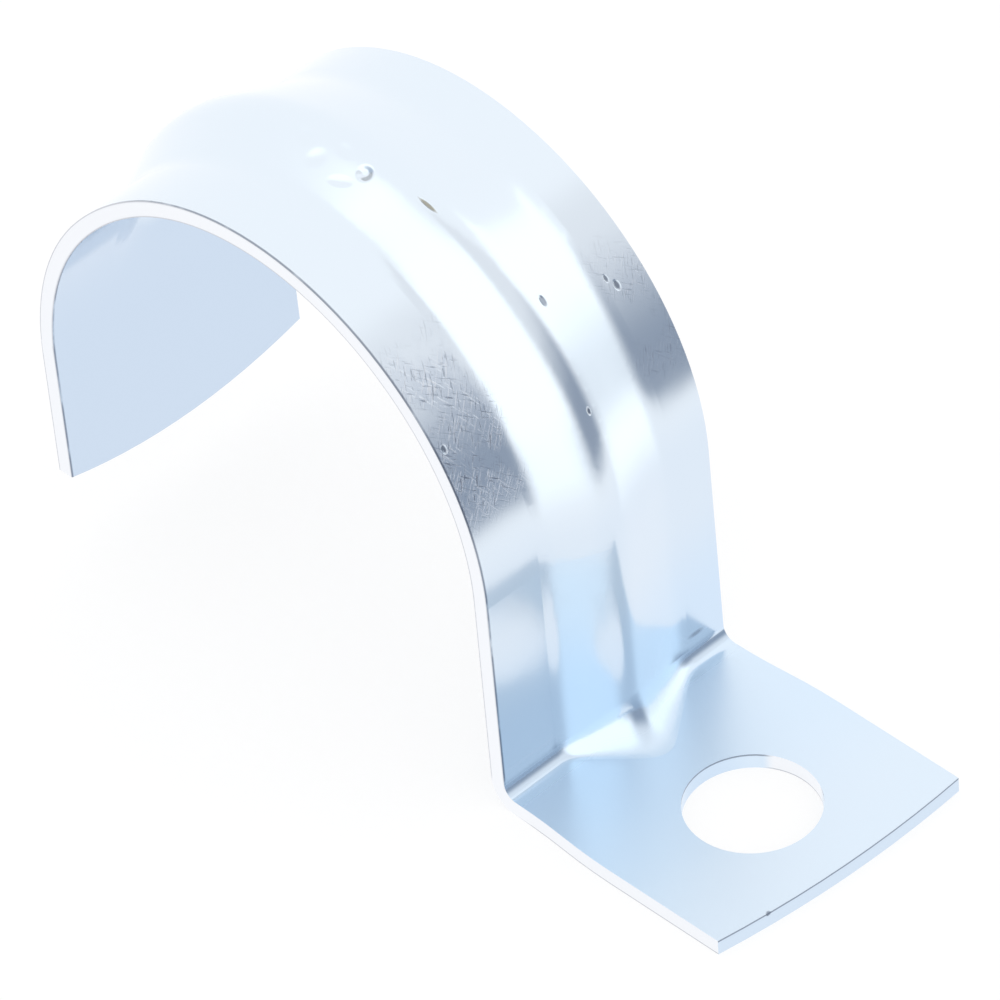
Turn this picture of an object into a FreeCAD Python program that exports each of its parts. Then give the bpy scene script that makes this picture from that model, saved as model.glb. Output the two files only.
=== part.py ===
"""One-hole conduit strap: a strip of zinc-plated sheet steel, pressed and folded.

The strip runs from a free toe, over a half-round arch that holds the conduit, down a
wall and out into a flat foot with one screw hole. A rounded rib stiffens the arch and
the wall. It fades out above the toe, and on the foot it ends in a nose. The metal has
one thickness everywhere, so the inside carries the matching groove.

The conduit lies along Y, the foot points to +X, and Z is up from the mounting surface.
The origin is on that surface, on the axis of the screw hole.
All lengths are in millimetres and all angles in degrees.
"""
import FreeCAD
import Part
import math
import os
from FreeCAD import Vector

SIZES = {
    "conduit_radius": 14.75,    # the 1 inch steel conduit that the arch is bent round
    "sheet": 0.9,               # thickness of the metal
    "strip_width": 15.6,        # at the waist, where the rib draws the edges in
    "arch_height": 12.55,       # from the foot's underside up to the arch's axis
    "toe_height": 3.0,          # of the toe's lowest point over the foot's underside
    "toe_end_radius": 33.0,     # the toe's end is cut to an arc
    "toe_lean": 3.7,            # angle that the toe leans in towards the foot
    "toe_spread": 0.3,          # the toe's extra width, on each side
    "wall_lean": 2.2,           # angle that the wall leans out on its way down
    "bend_radius": 0.75,        # inside the corner between the wall and the foot
    "foot_reach": 31.1,         # from the arch's axis to the foot's front corner
    "foot_skew": 0.8,           # the back corner reaches this much further
    "foot_end_radius": 66.0,    # the foot's end is cut to an arc
    "foot_spread": 0.35,        # the foot's extra width, on each side
    "flare_length": 7.0,        # along which the strip widens to its ends
    "flare_start": 0.6,         # from the wall's root to where the foot starts to widen
    "hole_radius": 3.55,        # for a 1/4 inch screw
    "hole_to_end": 5.5,         # from the screw's axis to the foot's front corner
    "rib_height": 1.5,          # of the crest over the strip's outer face
    "crest_shift": 0.1,         # of the crest from the middle, towards the front
    "crest_radius": 2.5,        # rounding along the crest
    "front_slope": 27.0,        # angle of the rib's flank at the front
    "back_slope": 19.0,         # angle of its longer flank at the back
    "front_fillet": 2.0,        # hollow between the strip and the front flank
    "back_fillet": 4.0,         # hollow between the strip and the back flank
    "nose_radius": 2.4,         # of the crest as it turns out onto the foot
    "nose_run": 1.8,            # from the nose's end to where the foot is plain plate
    "fade_start": 148.0,        # angle round the arch, from the foot's side
    "fade_end": 178.0,          # where the rib has sunk into the arch
    "trim": 3.0,                # by which the raw strip stands out before it is cut
}

ARCH_STEP = 6.0       # angle between the sections that shape the arch
BEND_STEPS = 8        # between the sections that shape the bend and the nose
JOIN_GAP = 0.0001     # flats and rib meet within this distance


def make_sheet(doc):
    """Writes the sizes to a spreadsheet, each with its name as alias."""
    sheet = doc.addObject("Spreadsheet::Sheet", "Sizes")
    for row, (name, value) in enumerate(SIZES.items(), start=1):
        sheet.set(f"A{row}", name)
        sheet.set(f"B{row}", str(value))
        sheet.setAlias(f"B{row}", name)
    doc.recompute()
    return sheet


class RibSection:
    """The rib's section across the strip: flank, rounded crest and longer flank."""

    def __init__(self, sheet):
        self.height = sheet.rib_height
        self.crest_y = -sheet.crest_shift
        self.crest_radius = sheet.crest_radius
        self.front = self.side(sheet.front_slope, sheet.front_fillet)
        self.back = self.side(sheet.back_slope, sheet.back_fillet)

    def side(self, slope, fillet):
        """The slope, its fillet and the distances at which the side's curves meet."""
        turn = math.radians(slope)
        crest_end = self.crest_radius * math.sin(turn)
        crest_drop = self.crest_radius * (1 - math.cos(turn))
        fillet_rise = fillet * (1 - math.cos(turn))
        straight = (self.height - crest_drop - fillet_rise) / math.tan(turn)
        fillet_top = crest_end + straight
        return turn, fillet, crest_end, fillet_top, fillet_top + fillet * math.sin(turn)

    def rise(self, y):
        """Height of the rib over the strip at a place across it."""
        side = self.front if y < self.crest_y else self.back
        turn, fillet, crest_end, fillet_top, foot = side
        out = abs(y - self.crest_y)
        if out >= foot:
            return 0.0
        if out >= fillet_top:
            return fillet - math.sqrt(fillet ** 2 - (foot - out) ** 2)
        if out >= crest_end:
            drop = self.crest_radius * (1 - math.cos(turn))
            return self.height - drop - (out - crest_end) * math.tan(turn)
        return self.height - self.crest_radius + math.sqrt(self.crest_radius ** 2 - out ** 2)

    def slope(self, y):
        """How steeply the rib rises at a place across it, as a tangent."""
        side = self.front if y < self.crest_y else self.back
        turn, fillet, crest_end, fillet_top, foot = side
        out = abs(y - self.crest_y)
        if out >= foot:
            return 0.0
        if out >= fillet_top:
            tilt = math.asin((foot - out) / fillet)
        elif out >= crest_end:
            tilt = turn
        else:
            tilt = math.asin(out / self.crest_radius)
        return math.tan(tilt) if y < self.crest_y else -math.tan(tilt)

    def lines(self):
        """Places across the rib, closer where it curves, from its front to its back."""
        places = []
        for sign, side in ((-1, self.front), (1, self.back)):
            _, _, crest_end, fillet_top, foot = side
            marks = (0.0, crest_end, fillet_top, foot)
            for (begin, end), steps in zip(zip(marks, marks[1:]), (3, 3, 4)):
                for number in range(steps):
                    places.append(sign * (begin + (end - begin) * number / steps))
            places.append(sign * foot)
        return [self.crest_y + place for place in sorted(set(places))]


def falling(value, begin, end):
    """Falls softly from 1 to 0 as the value goes from begin to end."""
    part = min(max((value - begin) / (end - begin), 0.0), 1.0)
    return 1 - part ** 3 * (10 - 15 * part + 6 * part ** 2)


class SideView:
    """The strip's outer face seen along the conduit, at one place across the strip.

    Its stretches are arch, wall, bend and landing, the piece of the foot that the nose
    runs out on. Each is a list of points with the face's heading there. Every place
    across the strip has the same number of points, so that they line up as a grid.
    """

    def __init__(self, sheet, rise):
        self.sheet = sheet
        self.rise = rise
        self.axis_x = sheet.hole_to_end - sheet.foot_reach
        self.outer = sheet.conduit_radius + sheet.sheet
        self.lean = math.radians(sheet.wall_lean)
        self.toe_turn = math.pi + math.radians(sheet.toe_lean)
        swell = (sheet.nose_radius - sheet.bend_radius) * rise / sheet.rib_height
        self.bend_radius = sheet.bend_radius + swell

    def wall_root(self, rise):
        """Where the outer face of the wall would meet the mounting surface."""
        reach = (self.outer + rise) / math.cos(self.lean)
        return self.axis_x + reach + self.sheet.arch_height * math.tan(self.lean)

    def landing_x(self):
        """Where the nose has run out and the foot goes on as plain plate."""
        nose_x = self.wall_root(self.sheet.rib_height) + self.sheet.nose_radius
        return nose_x + self.sheet.nose_run

    def on_arch(self, turn):
        """A point of the arch, at an angle from the foot's side."""
        degrees = math.degrees(turn)
        step = 0.01
        here = falling(degrees, self.sheet.fade_start, self.sheet.fade_end)
        ahead = falling(degrees - step, self.sheet.fade_start, self.sheet.fade_end)
        radius = self.outer + self.rise * here
        climb = math.atan2(self.rise * (ahead - here), radius * math.radians(step))
        x = self.axis_x + radius * math.cos(turn)
        z = self.sheet.arch_height + radius * math.sin(turn)
        return x, z, turn - math.pi / 2 + climb

    def arch(self):
        sweep = self.toe_turn - self.lean
        steps = 2 * round(math.degrees(sweep) / ARCH_STEP / 2)
        return [self.on_arch(self.toe_turn - sweep * number / steps)
                for number in range(steps + 1)]

    def wall(self):
        x, z, heading = self.on_arch(self.lean)
        end_z = self.sheet.sheet + self.bend_radius * (1 - math.sin(self.lean))
        length = (z - end_z) / math.cos(self.lean)
        return [(x, z, heading), (x + length * math.sin(self.lean), end_z, heading)]

    def bend(self):
        x, _, heading = self.wall()[-1]
        points = []
        for number in range(BEND_STEPS + 1):
            turned = heading * (1 - number / BEND_STEPS)
            run = math.cos(self.lean) + math.sin(turned)
            drop = 1 - math.cos(turned)
            points.append((x + self.bend_radius * run,
                           self.sheet.sheet + self.bend_radius * drop, turned))
        return points

    def landing(self):
        x, z, heading = self.bend()[-1]
        return [(x, z, heading), (self.landing_x(), z, heading)]

    def stretches(self):
        return [self.arch(), self.wall(), self.bend(), self.landing()]


def curve_through(points, places, first, last):
    """The smooth curve that passes through each point at its place.

    It leaves the first point and reaches the last one at the given speeds.
    """
    curve = Part.BSplineCurve()
    curve.interpolate(Points=points, Parameters=places, InitialTangent=first,
                      FinalTangent=last, Scale=False)
    return curve


def chords(row):
    """Distances between neighbouring points."""
    return [one.distanceToPoint(other) for one, other in zip(row, row[1:])]


def end_speed(heading, chord, step):
    """The velocity at the end of a stretch whose last arc has the given chord."""
    turn = heading.getAngle(chord)
    arc = chord.Length * (turn / math.sin(turn) if turn > 1e-6 else 1.0)
    return heading * (arc / step)


def face_through(rows, headings, across):
    """The smooth face that passes through each point of a grid."""
    steps = chords(rows[0])
    along = [sum(steps[:number]) for number in range(len(steps) + 1)]
    lines = []
    for row, (first, last) in zip(rows, headings):
        lines.append(curve_through(row, along, end_speed(first, row[1] - row[0], steps[0]),
                                   end_speed(last, row[-1] - row[-2], steps[-1])))
    level = Vector(0, 1, 0)
    pole_rows = zip(*[line.getPoles() for line in lines])
    crossings = [curve_through(list(poles), across, level, level) for poles in pole_rows]
    poles = [list(row) for row in zip(*[curve.getPoles() for curve in crossings])]
    surface = Part.BSplineSurface()
    surface.buildFromPolesMultsKnots(
        poles, crossings[0].getMultiplicities(), lines[0].getMultiplicities(),
        crossings[0].getKnots(), lines[0].getKnots(), False, False, 3, 3)
    return surface


def direction(heading):
    """The direction of a heading in the side view."""
    return Vector(math.cos(heading), 0, math.sin(heading))


def rib_grids(sheet, section):
    """Grids of points on the rib's outer and inner faces, with each row's end headings."""
    step = 0.0001
    outside = []
    inside = []
    headings = []
    for y in section.lines():
        rise = section.rise(y)
        lift = section.slope(y) / step
        outer_rows = []
        inner_rows = []
        ends = []
        stretches = SideView(sheet, rise).stretches()
        for points, raised in zip(stretches, SideView(sheet, rise + step).stretches()):
            outer_row = []
            inner_row = []
            for (x, z, heading), (raised_x, raised_z, _) in zip(points, raised):
                across = Vector((raised_x - x) * lift, 1, (raised_z - z) * lift)
                normal = direction(heading).cross(across).normalize()
                outer_row.append(Vector(x, y, z))
                inner_row.append(Vector(x, y, z) - normal * sheet.sheet)
            outer_rows.append(outer_row)
            inner_rows.append(inner_row)
            ends.append((direction(points[0][2]), direction(points[-1][2])))
        outside.append(outer_rows)
        inside.append(inner_rows)
        headings.append(ends)
    return outside, inside, headings


def level_face(*edges):
    """The plane face inside some edges, given in any order."""
    return Part.Face(Part.Wire(Part.sortEdges(list(edges))[0]))


def line(one, other):
    return Part.makeLine(one, other)


def rib_band(sheet, section):
    """The solid of the rib, between the two places where it leaves the flat strip."""
    outside, inside, headings = rib_grids(sheet, section)
    places = section.lines()
    count = len(outside[0])
    outer = []
    inner = []
    for number in range(count):
        ends = [row[number] for row in headings]
        outer.append(face_through([row[number] for row in outside], ends, places))
        inner.append(face_through([row[number] for row in inside], ends, places))
    faces = []
    for surfaces in (outer, inner):
        faces += [surface.toShape() for surface in surfaces[:-1]]
        begin = surfaces[-1].vIso(0.0)
        end = surfaces[-1].vIso(surfaces[-1].bounds()[3])
        faces.append(level_face(begin.toShape(), end.toShape(),
                                line(begin.StartPoint, end.StartPoint),
                                line(begin.EndPoint, end.EndPoint)))
    for one, other in zip(outer, inner):
        for side in (0, 1):
            above = one.uIso(one.bounds()[side])
            below = other.uIso(other.bounds()[side])
            faces.append(level_face(above.toShape(), below.toShape(),
                                    line(above.StartPoint, below.StartPoint),
                                    line(above.EndPoint, below.EndPoint)))
    for one, other, side in ((outer[0], inner[0], 2), (outer[-1], inner[-1], 3)):
        above = one.vIso(one.bounds()[side])
        below = other.vIso(other.bounds()[side])
        faces.append(level_face(line(above.StartPoint, above.EndPoint),
                                line(below.StartPoint, below.EndPoint),
                                line(above.StartPoint, below.StartPoint),
                                line(above.EndPoint, below.EndPoint)))
    shell = Part.makeShell(faces)
    shell.sewShape()
    return Part.makeSolid(shell)


def side_edges(sheet, depth):
    """The flat strip's side view as exact edges, at a depth under its outer face."""
    edges = []
    for stretch in SideView(sheet, 0.0).stretches():
        points = []
        for x, z, heading in (stretch[0], stretch[len(stretch) // 2], stretch[-1]):
            points.append(Vector(x + depth * math.sin(heading), 0, z - depth * math.cos(heading)))
        if len(stretch) > 2:
            edges.append(Part.Arc(*points).toShape())
        else:
            edges.append(line(points[0], points[2]))
    return edges


def flat_band(sheet, begin_y, end_y):
    """The solid of the plain strip beside the rib."""
    outer = side_edges(sheet, 0.0)
    inner = side_edges(sheet, sheet.sheet)
    toe_end = line(outer[0].firstVertex().Point, inner[0].firstVertex().Point)
    foot_end = line(outer[-1].lastVertex().Point, inner[-1].lastVertex().Point)
    face = level_face(*outer, *inner, toe_end, foot_end)
    face.translate(Vector(0, begin_y, 0))
    return face.extrude(Vector(0, end_y - begin_y, 0))


def raw_half_width(sheet):
    """Half the width of the raw strip, before its edges are trimmed."""
    return sheet.strip_width / 2 + max(sheet.toe_spread, sheet.foot_spread) + sheet.trim


def pressed_strip(sheet):
    """The bent and ribbed length of the strip, with its edges still untrimmed."""
    section = RibSection(sheet)
    places = section.lines()
    half = raw_half_width(sheet)
    band = rib_band(sheet, section)
    front = flat_band(sheet, -half, places[0])
    back = flat_band(sheet, places[-1], half)
    return band.fuse([front, back], JOIN_GAP).Solids[0]


def flare(begin_x, end_x, begin_y, end_y):
    """Two arcs that lead an edge softly from one line to a parallel one."""
    middle = Vector((begin_x + end_x) / 2, (begin_y + end_y) / 2, 0)
    arcs = []
    for x, y in ((begin_x, begin_y), (end_x, end_y)):
        run = middle.x - x
        rise = middle.y - y
        radius = (run ** 2 + rise ** 2) / (2 * rise)
        turn = math.asin(run / radius) / 2
        half_way = Vector(x + radius * math.sin(turn), y + radius * (1 - math.cos(turn)), 0)
        arcs.append((Vector(x, y, 0), half_way, middle))
    first, second = arcs
    return [Part.Arc(*first).toShape(), Part.Arc(*reversed(second)).toShape()]


def arc_end(begin, end, radius):
    """An arc from one corner to the other that bulges to the right of the way."""
    chord = end - begin
    bulge = radius - math.sqrt(radius ** 2 - chord.Length ** 2 / 4)
    side = Vector(chord.y, -chord.x, 0).normalize()
    return Part.Arc(begin, (begin + end) / 2 + side * bulge, end).toShape()


def outline(sheet):
    """The strip's outline from above, as an upright prism that trims its edges."""
    view = SideView(sheet, 0.0)
    waist = sheet.strip_width / 2
    toe = waist + sheet.toe_spread
    foot = waist + sheet.foot_spread
    left = view.axis_x - view.outer - sheet.trim
    toe_x = view.axis_x - view.outer + 2 * sheet.sheet
    waist_x = toe_x + sheet.flare_length
    flare_x = view.wall_root(0.0) + sheet.flare_start
    foot_x = flare_x + sheet.flare_length
    front = Vector(sheet.hole_to_end, -foot, 0)
    back = Vector(sheet.hole_to_end + sheet.foot_skew, foot, 0)

    def straight(*points):
        return line(*[Vector(x, y, 0) for x, y in points])

    edges = [straight((left, -toe), (toe_x, -toe))]
    edges += flare(toe_x, waist_x, -toe, -waist)
    edges.append(straight((waist_x, -waist), (flare_x, -waist)))
    edges += flare(flare_x, foot_x, -waist, -foot)
    edges.append(straight((foot_x, -foot), (front.x, -foot)))
    edges.append(arc_end(front, back, sheet.foot_end_radius))
    edges.append(straight((back.x, foot), (foot_x, foot)))
    edges += flare(foot_x, flare_x, foot, waist)
    edges.append(straight((flare_x, waist), (waist_x, waist)))
    edges += flare(waist_x, toe_x, waist, toe)
    edges.append(straight((toe_x, toe), (left, toe)))
    edges.append(straight((left, toe), (left, -toe)))
    face = Part.Face(Part.Wire(edges))
    depth = sheet.arch_height + view.outer + sheet.rib_height + 2 * sheet.trim
    face.translate(Vector(0, 0, -sheet.trim))
    return face.extrude(Vector(0, 0, depth))


def toe_trim(sheet):
    """What is cut away below the toe, so that its end is an arc."""
    view = SideView(sheet, 0.0)
    radius = sheet.toe_end_radius
    half = raw_half_width(sheet) + sheet.trim
    side_z = sheet.toe_height + radius - math.sqrt(radius ** 2 - half ** 2)
    low_z = -2 * sheet.trim
    x = view.axis_x - view.outer - sheet.trim
    corners = [Vector(x, half, side_z), Vector(x, half, low_z), Vector(x, -half, low_z),
               Vector(x, -half, side_z)]
    edges = [line(one, other) for one, other in zip(corners, corners[1:])]
    edges.append(Part.Arc(corners[3], Vector(x, 0, sheet.toe_height), corners[0]).toShape())
    return level_face(*edges).extrude(Vector(sheet.conduit_radius, 0, 0))


def check(doc, strap):
    """Stops the build where a step has failed or the strap isn't one sound solid."""
    for item in doc.Objects:
        if "Invalid" in item.State or "Error" in item.State:
            raise RuntimeError(f"{item.Label} could not be built: {item.State}")
    if strap.Shape.isNull() or not strap.Shape.isValid() or len(strap.Shape.Solids) != 1:
        raise RuntimeError("strap is not one sound solid")


def main():
    doc = FreeCAD.newDocument("conduit_strap")
    sheet = make_sheet(doc)
    view = SideView(sheet, 0.0)
    half = raw_half_width(sheet)
    spread = "max(Sizes.toe_spread; Sizes.foot_spread)"
    raw_width = f"Sizes.strip_width + 2 * ({spread} + Sizes.trim)"

    strip = doc.addObject("Part::Feature", "pressed_strip")
    strip.Shape = pressed_strip(sheet)

    # The flat foot, from the bend's landing to past its curved end.
    foot = doc.addObject("Part::Box", "foot_plate")
    foot.setExpression("Width", raw_width)
    foot.setExpression("Height", "Sizes.sheet")
    foot.Length = sheet.hole_to_end + sheet.foot_skew + sheet.trim - view.landing_x()
    foot.Placement.Base = Vector(view.landing_x(), -half, 0)

    # The flat toe, from the arch's end down past its curved end.
    toe = doc.addObject("Part::Box", "toe_plate")
    toe_x, toe_z, heading = view.on_arch(view.toe_turn)
    toe.setExpression("Length", "Sizes.sheet")
    toe.setExpression("Width", raw_width)
    toe.Height = toe_z - sheet.toe_height + sheet.trim
    corner = Vector(toe_x, -half, toe_z) - direction(heading) * toe.Height.Value
    toe.Placement = FreeCAD.Placement(corner, FreeCAD.Rotation(Vector(0, 1, 0), -sheet.toe_lean))

    raw_strip = doc.addObject("Part::MultiFuse", "raw_strip")
    raw_strip.Shapes = [strip, foot, toe]
    raw_strip.Refine = True
    edge = doc.addObject("Part::Feature", "outline")
    edge.Shape = outline(sheet)
    trimmed = doc.addObject("Part::Common", "trimmed_strip")
    trimmed.Base = raw_strip
    trimmed.Tool = edge

    toe_cutter = doc.addObject("Part::Feature", "toe_cutter")
    toe_cutter.Shape = toe_trim(sheet)
    blank = doc.addObject("Part::Cut", "undrilled_strap")
    blank.Base = trimmed
    blank.Tool = toe_cutter

    hole = doc.addObject("Part::Cylinder", "screw_hole")
    hole.setExpression("Radius", "Sizes.hole_radius")
    hole.setExpression("Height", "Sizes.sheet + 2 * Sizes.trim")
    hole.setExpression("Placement.Base.z", "-Sizes.trim")
    strap = doc.addObject("Part::Cut", "strap")
    strap.Label = "strap"
    strap.Base = blank
    strap.Tool = hole
    doc.recompute()
    check(doc, strap)

    os.makedirs("parts", exist_ok=True)
    strap.Shape.exportStep("parts/strap.step")


main()
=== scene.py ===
import math

import bpy
from mathutils import Matrix, Vector

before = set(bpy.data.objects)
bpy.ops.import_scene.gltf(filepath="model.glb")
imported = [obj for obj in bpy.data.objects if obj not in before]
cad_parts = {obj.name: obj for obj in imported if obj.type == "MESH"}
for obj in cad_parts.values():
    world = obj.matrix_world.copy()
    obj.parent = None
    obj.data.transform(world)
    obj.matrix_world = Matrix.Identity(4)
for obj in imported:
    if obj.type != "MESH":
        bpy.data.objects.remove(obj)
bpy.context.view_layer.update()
scene = bpy.context.scene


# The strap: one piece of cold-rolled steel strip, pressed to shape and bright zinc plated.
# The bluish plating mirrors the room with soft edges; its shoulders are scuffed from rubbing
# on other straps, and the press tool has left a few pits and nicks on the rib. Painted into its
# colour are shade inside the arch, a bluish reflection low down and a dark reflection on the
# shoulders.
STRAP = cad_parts["strap"]
MM = 0.001
ZINC = "dce7f0"            # clean plating, a bluish white
SHADED_INSIDE = "cddbe9"          # painted shade: the arch's inside, darkened as if in the shade under the arch
BLUE_REFLECTION_TINT = "d3e4f3"     # painted reflection: a bluish tint over the lower wall, the bend and the foot
RUBBED_AND_DARK_REFLECTION = "c3cfdd"          # plating scuffed matt, and darker as a painted reflection of the dark screen
SHEARED = "edf1f5"         # the sheared side, smeared bright by the blade
BARE_STEEL = "5f697b"      # bare steel in a nick, and the dark corner of the sheared edge
CHIPPED = "8d8873"         # a yellowish trace where the plating has chipped
POLISHED, MATT = 0.17, 0.34         # roughness of clean plating and of the dullest places


def linear(code):
    """A hex colour as linear RGBA."""
    values = [int(code[i:i + 2], 16) / 255 for i in (0, 2, 4)]
    return tuple(v / 12.92 if v <= 0.04045 else ((v + 0.055) / 1.055) ** 2.4
                 for v in values) + (1.0,)


def add(tree, kind, *values, **settings):
    """Adds a node, its inputs linked or given a value in order, and gives its first output."""
    node = tree.nodes.new("ShaderNode" + kind)
    for name, setting in settings.items():
        setattr(node, name, setting)
    for socket, value in zip([socket for socket in node.inputs if socket.enabled], values):
        if isinstance(value, bpy.types.NodeSocket):
            tree.links.new(value, socket)
        else:
            socket.default_value = value
    return next(socket for socket in node.outputs if socket.enabled)


def between(tree, *borders):
    """A place inside soft borders, each a value with where it is 0 and where it is 1."""
    share = 1.0
    for value, none, full in borders:
        border = add(tree, "MapRange", value, none, full, interpolation_type="SMOOTHSTEP")
        share = add(tree, "Math", share, border, operation="MULTIPLY")
    return share


# Places on the strap are in mm from the screw hole: x to the foot's end, y across and z up.
# On the arch they are an angle from the foot's side up and a distance from its axis.
ARCH_X, ARCH_Z = -25.6, 12.55
OUTER_RADIUS, SHEET_MIDDLE = 15.6, 15.2
plating = bpy.data.materials.new("bright_zinc_plating")
plating.use_nodes = True
metal = plating.node_tree
coordinates = add(metal, "TexCoord").node.outputs
place = add(metal, "VectorMath", coordinates["Object"], 1 / MM, operation="SCALE")
x, y, z = add(metal, "SeparateXYZ", place).node.outputs
_, facing_y, facing_z = add(metal, "SeparateXYZ", coordinates["Normal"]).node.outputs
across = add(metal, "Math", x, ARCH_X, operation="SUBTRACT")
upward = add(metal, "Math", z, ARCH_Z, operation="SUBTRACT")
from_axis = add(metal, "CombineXYZ", across, upward)
radius = add(metal, "VectorMath", from_axis, operation="LENGTH")
turn = add(metal, "Math", upward, across, operation="ARCTAN2")
angle = add(metal, "Math", turn, operation="DEGREES")
patches = add(metal, "TexNoise", place, 0.42, 3.0)          # about 2.5 mm across

# Scuffs: short crossed scratches on the flat bands beside the rib, where the arch turns down.
# They are about 0.12 mm wide and 0.9 to 1.5 mm long, coarser than real ones, so that they
# show. The strip is unrolled round the arch, so that they keep their slant.
round_arch = add(metal, "Math", turn, OUTER_RADIUS, operation="MULTIPLY")
unrolled = add(metal, "CombineXYZ", round_arch, y)


def scratches(slant, width, length, start, none, full):
    """Fine lines at an angle to the strip: noise that is drawn out along them."""
    drawn_out = add(metal, "Mapping", unrolled, (start, start, 0.0),
                    (0.0, 0.0, math.radians(slant)), (length, width, 1.0), vector_type="TEXTURE")
    noise = add(metal, "TexNoise", drawn_out, 1.0, 2.0, 0.6)
    return add(metal, "MapRange", noise, none, full, interpolation_type="SMOOTHSTEP")


bright_lines = add(metal, "Math", scratches(42, 0.11, 1.5, 3.0, 0.54, 0.66),
                   scratches(-30, 0.12, 1.2, 11.0, 0.56, 0.68), operation="MAXIMUM")
dark_lines = add(metal, "Math", scratches(25, 0.12, 0.9, 23.0, 0.55, 0.68),
                 scratches(-52, 0.13, 0.9, 31.0, 0.56, 0.70), operation="MAXIMUM")
# Painted dark reflection as well as wear: the bands lie where the dark screen is mirrored on the
# shoulders, and their patches are painted darker.
front_band = between(metal, (y, -3.2, -4.0), (angle, 60.0, 46.0), (angle, 17.0, 24.0))
back_band = between(metal, (y, 4.2, 5.2), (angle, 54.0, 42.0), (angle, 18.0, 30.0))
LIGHTER_BACK_BAND = 0.45          # the back band is worn less than the front one, and its painted dark reflection is fainter
bands = add(metal, "Math", back_band, LIGHTER_BACK_BAND, front_band, operation="MULTIPLY_ADD")
patchy_outside = between(metal, (patches, 0.36, 0.56),
                         (radius, OUTER_RADIUS - 0.4, OUTER_RADIUS - 0.2))
wear_and_dark_reflection = add(metal, "Math", bands, patchy_outside, operation="MULTIPLY")
scuffed = add(metal, "Math", wear_and_dark_reflection, bright_lines, operation="MULTIPLY")
gouged = add(metal, "Math", wear_and_dark_reflection, dark_lines, operation="MULTIPLY")


def mark(centre, size, slant=0.0, soft=0.55):
    """A small round or oval place, by its centre and half sizes."""
    local = add(metal, "VectorMath", place, centre, operation="SUBTRACT")
    turned = add(metal, "VectorRotate", local, (0.0, 0.0, 0.0), math.radians(slant),
                 rotation_type="Z_AXIS")
    scaled = add(metal, "VectorMath", turned, size, operation="DIVIDE")
    distance = add(metal, "VectorMath", scaled, operation="LENGTH")
    return add(metal, "MapRange", distance, 1.0, 1.0 - soft, interpolation_type="SMOOTHSTEP")


# The press tool's traces: a pit and a row of shallow dents where the rib begins, a chip along
# its crest, a few dark specks further down, and a smudge above the bend.
pit = mark((-23.76, -1.29, 29.30), (0.55, 0.50, 0.7), 0, 0.8)
chip = mark((-20.2, -0.52, 28.8), (0.75, 0.13, 0.7), -4)
smudge = mark((-9.55, 5.9, 2.40), (0.5, 0.75, 0.22), 0, 0.8)
dents = 0.0
for centre, size, slant in (((-28.0, -1.2, 29.3), (0.9, 0.5, 0.9), 20),
                            ((-26.6, -1.9, 29.2), (0.7, 0.6, 0.9), -30),
                            ((-25.5, -0.9, 29.5), (0.8, 0.45, 0.9), 10),
                            ((-24.6, -2.2, 28.9), (0.8, 0.35, 0.8), -20)):
    dents = add(metal, "Math", dents, mark(centre, size, slant, 0.9), operation="MAXIMUM")
specks = 0.0
for centre, size in (((-14.19, 1.15, 24.97), (0.35, 0.22, 0.4)),
                     ((-10.47, 0.30, 20.54), (0.2, 0.16, 0.3)),
                     ((-13.94, 5.95, 22.99), (0.3, 0.22, 0.4)),
                     ((-14.35, 5.60, 23.40), (0.25, 0.14, 0.3)),
                     ((-12.95, -7.25, 21.6), (0.3, 0.2, 0.35)),
                     ((5.97, -5.05, 0.85), (0.2, 0.22, 0.15))):
    specks = add(metal, "Math", specks, mark(centre, size), operation="MAXIMUM")

# The sheared edges: the blade smears the side bright and leaves a thin dark corner, the burr.
# The strip is narrowest on the arch and flares towards the toe and the foot.
WAIST, TOE_FLARE, FOOT_FLARE = 7.8, 0.3, 0.35
at_toe = add(metal, "MapRange", x, -32.4, -39.4, interpolation_type="SMOOTHSTEP")
at_foot = add(metal, "MapRange", x, -9.3, -2.3, interpolation_type="SMOOTHSTEP")
half_width = add(metal, "Math", at_toe, TOE_FLARE, WAIST, operation="MULTIPLY_ADD")
half_width = add(metal, "Math", at_foot, FOOT_FLARE, half_width, operation="MULTIPLY_ADD")
off_centre = add(metal, "Math", y, operation="ABSOLUTE")
inset = add(metal, "Math", half_width, off_centre, operation="SUBTRACT")
sideways = add(metal, "Math", facing_y, operation="ABSOLUTE")
sheared = add(metal, "MapRange", sideways, 0.80, 0.90, interpolation_type="SMOOTHSTEP")
burr = between(metal, (inset, 0.15, 0.07), (sideways, 0.90, 0.80), (z, 1.2, 2.2),
               (y, 0.5, -0.5), (patches, 0.25, 0.50))

# Through the sheet's thickness: round the arch that is the distance from its axis, and below
# it the distance along the two walls' normals, which lean by a few degrees.
TOE_LEAN, WALL_LEAN = math.radians(3.7), math.radians(2.2)
toe_wall = add(metal, "VectorMath", from_axis, (-math.cos(TOE_LEAN), -math.sin(TOE_LEAN), 0.0),
               operation="DOT_PRODUCT")
foot_wall = add(metal, "VectorMath", from_axis, (math.cos(WALL_LEAN), math.sin(WALL_LEAN), 0.0),
                operation="DOT_PRODUCT")
outer_wall = add(metal, "Math", toe_wall, foot_wall, operation="MAXIMUM")
below_axis = add(metal, "Math", upward, 0.0, operation="LESS_THAN")
depth = add(metal, "Mix", below_axis, radius, outer_wall, data_type="FLOAT")
from_middle = add(metal, "Math", depth, SHEET_MIDDLE, operation="SUBTRACT")
off_middle = add(metal, "Math", from_middle, operation="ABSOLUTE")
levelness = add(metal, "Math", facing_z, operation="ABSOLUTE")
side_corner = between(metal, (off_middle, 0.36, 0.43), (sideways, 0.80, 0.90), (z, 1.2, 2.0))
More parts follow.
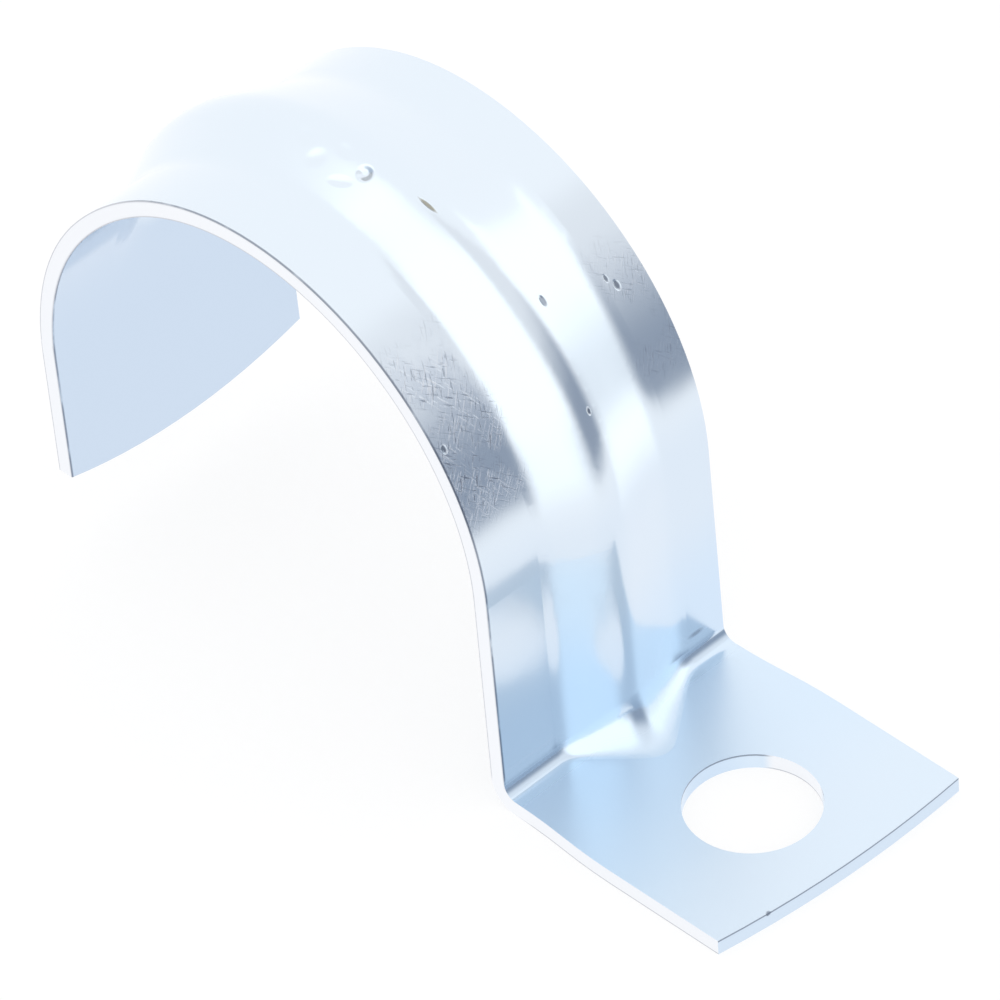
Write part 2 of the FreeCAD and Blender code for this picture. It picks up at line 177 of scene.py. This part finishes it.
foot_corner = between(metal, (z, 0.10, 0.02), (sideways, 0.80, 0.90), (x, -9.0, -7.0))
end_corner = between(metal, (z, 0.76, 0.84), (levelness, 0.3, 0.1), (x, -3.8, -3.5),
                     (sideways, 0.90, 0.80))
corners = 0.0
for corner, strength in ((side_corner, 0.40), (foot_corner, 0.5), (end_corner, 0.75)):
    share = add(metal, "Math", corner, strength, operation="MULTIPLY")
    corners = add(metal, "Math", corners, share, operation="MAXIMUM")

# The finish: layers of colour over the clean plating, among them painted shade inside the arch
# and painted reflections on the shoulders and low on the wall, then how matt each place is.
# Painted shade: the arch's inner surfaces, a little above the foot, are darkened as if in shade.
painted_shade_inside = between(metal, (depth, SHEET_MIDDLE + 0.15, SHEET_MIDDLE - 0.15), (z, 1.0, 3.0))
# Painted reflection: a bluish tint over the lower wall, the bend and the foot, fading to about
# half towards the foot's end.
bend_side = add(metal, "MapRange", x, 4.0, -4.0, interpolation_type="SMOOTHSTEP")
near_bend = add(metal, "Math", bend_side, 0.45, 0.55, operation="MULTIPLY_ADD")
low_down = between(metal, (z, 11.0, 4.0), (x, -14.0, -11.0))
painted_blue_reflection = add(metal, "Math", low_down, near_bend, operation="MULTIPLY")
colour = linear(ZINC)
for where, strength, coat in (
        (painted_shade_inside, 1.0, SHADED_INSIDE), (painted_blue_reflection, 1.0, BLUE_REFLECTION_TINT), (wear_and_dark_reflection, 0.5, RUBBED_AND_DARK_REFLECTION),
        (scuffed, 0.5, SHEARED), (gouged, 0.60, BARE_STEEL), (sheared, 1.0, SHEARED),
        (burr, 0.75, BARE_STEEL), (corners, 1.0, BARE_STEEL), (smudge, 0.45, BARE_STEEL),
        (specks, 0.7, BARE_STEEL), (chip, 0.8, CHIPPED)):
    share = add(metal, "Math", where, strength, operation="MULTIPLY")
    colour = add(metal, "Mix", share, colour, linear(coat), data_type="RGBA")
dullness = between(metal, (x, -9.4, -7.5), (z, 2.0, 1.0))          # the flat foot
for where, strength in ((wear_and_dark_reflection, 0.5), (chip, 0.8), (smudge, 0.8), (sheared, 0.8)):
    share = add(metal, "Math", where, strength, operation="MULTIPLY")
    dullness = add(metal, "Math", dullness, share, operation="MAXIMUM")
roughness = add(metal, "MapRange", dullness, 0.0, 1.0, POLISHED, MATT)

# The relief, in mm: the rolled sheet's slight waviness, then scratches up and down, and the
# tool's dents, pit and specks.
waviness = add(metal, "TexNoise", place, 0.30, 1.0)
nicks = add(metal, "Math", specks, chip, operation="MAXIMUM")
height = add(metal, "Math", waviness, 0.02, operation="MULTIPLY")
for where, rise in ((scuffed, 0.0045), (gouged, -0.0055), (dents, -0.07), (pit, -0.22),
                    (nicks, -0.05)):
    height = add(metal, "Math", where, rise, height, operation="MULTIPLY_ADD")
relief = add(metal, "Bump", 1.0, MM)
metal.links.new(height, relief.node.inputs["Height"])
shader = metal.nodes["Principled BSDF"].inputs
shader["Metallic"].default_value = 1.0
metal.links.new(colour, shader["Base Color"])
metal.links.new(roughness, shader["Roughness"])
metal.links.new(relief, shader["Normal"])
STRAP.data.materials.clear()
STRAP.data.materials.append(plating)


# The camera stands far off to the right and above, as for a catalogue picture.
# Its long lens keeps the strip's far and near edges almost parallel.
AIM = Vector((-0.02346, 0.00605, 0.00281))
ROUND, UP, ROLL = math.radians(47.16), math.radians(42.31), math.radians(3.60)
DISTANCE = 0.7063
back = Vector((math.sin(ROUND) * math.cos(UP), -math.cos(ROUND) * math.cos(UP), math.sin(UP)))
camera = bpy.data.objects.new("camera", bpy.data.cameras.new("camera"))
scene.collection.objects.link(camera)
camera.data.lens = 504.0
camera.data.sensor_width = 36.0
camera.data.clip_start = 0.01
camera.data.clip_end = 10.0
camera.location = AIM + back * DISTANCE
camera.rotation_mode = "QUATERNION"
level = (-back).to_track_quat("-Z", "Y")
camera.rotation_quaternion = Matrix.Rotation(ROLL, 4, -back).to_quaternion() @ level
scene.camera = camera


# The studio: an even pale dome with a bright soft panel on the camera's left, a grey screen
# low down on its right and a paler screen opposite. Bright metal shows nothing but its
# surroundings: the panel whitens the rib's near flank, and the screen darkens the shoulder.
DOME = "ebe9e9"
GREY_SIDE = "dcdadb"       # the dome behind and above the screen
PANEL = "ffffff"
BELOW = "e0e1e5"           # what the metal mirrors under the horizon on the screen's side
SCREEN = "8b929f"
FAR_SCREEN = "aab2bf"      # shows the toe's side against the white
STUDIO_STRENGTH = 1.39
SCREEN_BEARING, FAR_BEARING = 122.0, -24.0     # degrees from -Y towards +X
world = bpy.data.worlds.new("studio")
scene.world = world
world.use_nodes = True
sky = world.node_tree
east, north, up = add(sky, "SeparateXYZ", add(sky, "TexCoord")).node.outputs
south = add(sky, "Math", north, -1.0, operation="MULTIPLY")
tilt = add(sky, "Math", up, operation="ARCSINE")
elevation = add(sky, "Math", tilt, operation="DEGREES")
heading = add(sky, "Math", east, south, operation="ARCTAN2")
bearing = add(sky, "Math", heading, operation="DEGREES")
to_screen = add(sky, "Math", bearing, SCREEN_BEARING, operation="SUBTRACT")
off_screen = add(sky, "Math", to_screen, operation="ABSOLUTE")
to_far_screen = add(sky, "Math", bearing, FAR_BEARING, operation="SUBTRACT")
off_far = add(sky, "Math", to_far_screen, operation="ABSOLUTE")

# Each part of the studio is a place between soft borders, in degrees round and then up.
grey_side = between(sky, (off_screen, 38.0, 20.0), (elevation, -8.0, 14.0))
below = between(sky, (bearing, 40.0, 90.0), (elevation, -8.0, -34.0))
panel = between(sky, (bearing, 100.0, 78.0), (bearing, -80.0, -40.0),
                (elevation, 84.0, 66.0), (elevation, -20.0, -8.0))
second_panel = between(sky, (bearing, 142.0, 156.0), (elevation, 50.0, 34.0),
                       (elevation, -36.0, -20.0))
far_screen = between(sky, (off_far, 62.0, 40.0), (elevation, -34.0, -16.0),
                     (elevation, 34.0, 4.0))
skirting = between(sky, (off_screen, 60.0, 22.0), (elevation, -18.0, -8.0),
                   (elevation, 16.0, -2.0))
screen = between(sky, (off_screen, 31.0, 11.0), (elevation, -14.5, -7.5),
                 (elevation, 46.0, 8.0))
panels = add(sky, "Math", panel, second_panel, operation="MAXIMUM")
tone = linear(DOME)
for where, strength, paint in (
        (grey_side, 1.0, GREY_SIDE), (below, 1.0, BELOW), (panels, 1.0, PANEL),
        (far_screen, 1.0, FAR_SCREEN), (skirting, 0.40, SCREEN), (screen, 1.0, SCREEN)):
    share = add(sky, "Math", where, strength, operation="MULTIPLY")
    tone = add(sky, "Mix", share, tone, linear(paint), data_type="RGBA")
mirrored = add(sky, "Background", tone, STUDIO_STRENGTH)
plain = add(sky, "Background", (1.0, 1.0, 1.0, 1.0), 1.0)
by_metal = add(sky, "LightPath").node.outputs["Is Glossy Ray"]
lighting = add(sky, "MixShader", by_metal, plain, mirrored)
sky.links.new(lighting, sky.nodes["World Output"].inputs["Surface"])


# The floor: a matt white board under the strap, bright enough to show as white. It keeps a
# faint shadow, and the metal mirrors the studio's tones in its place.
BOARD = "fafafa"
FLOOR_SIZE = 3.0
GLOW, GLOW_SHARE = 1.05, 0.75          # how much of the white that the camera sees is its own
bpy.ops.object.select_all(action="DESELECT")
bpy.ops.mesh.primitive_plane_add(size=FLOOR_SIZE, location=(0, 0, 0))
floor = bpy.context.object
floor.name = "floor"
white_board = bpy.data.materials.new("white_board")
white_board.use_nodes = True
board = white_board.node_tree
matt = board.nodes["Principled BSDF"]
matt.inputs["Base Color"].default_value = linear(BOARD)
matt.inputs["Roughness"].default_value = 1.0
matt.inputs["Specular IOR Level"].default_value = 0.0
ray = add(board, "LightPath").node.outputs
white = add(board, "Emission", (1.0, 1.0, 1.0, 1.0), GLOW)
lit = add(board, "MixShader", GLOW_SHARE, matt.outputs[0], white)
shown = add(board, "MixShader", ray["Is Camera Ray"], matt.outputs[0], lit)
surface = add(board, "MixShader", ray["Is Glossy Ray"], shown, add(board, "BsdfTransparent"))
board.links.new(surface, board.nodes["Material Output"].inputs["Surface"])
floor.data.materials.append(white_board)

scene.view_settings.view_transform = "Standard"
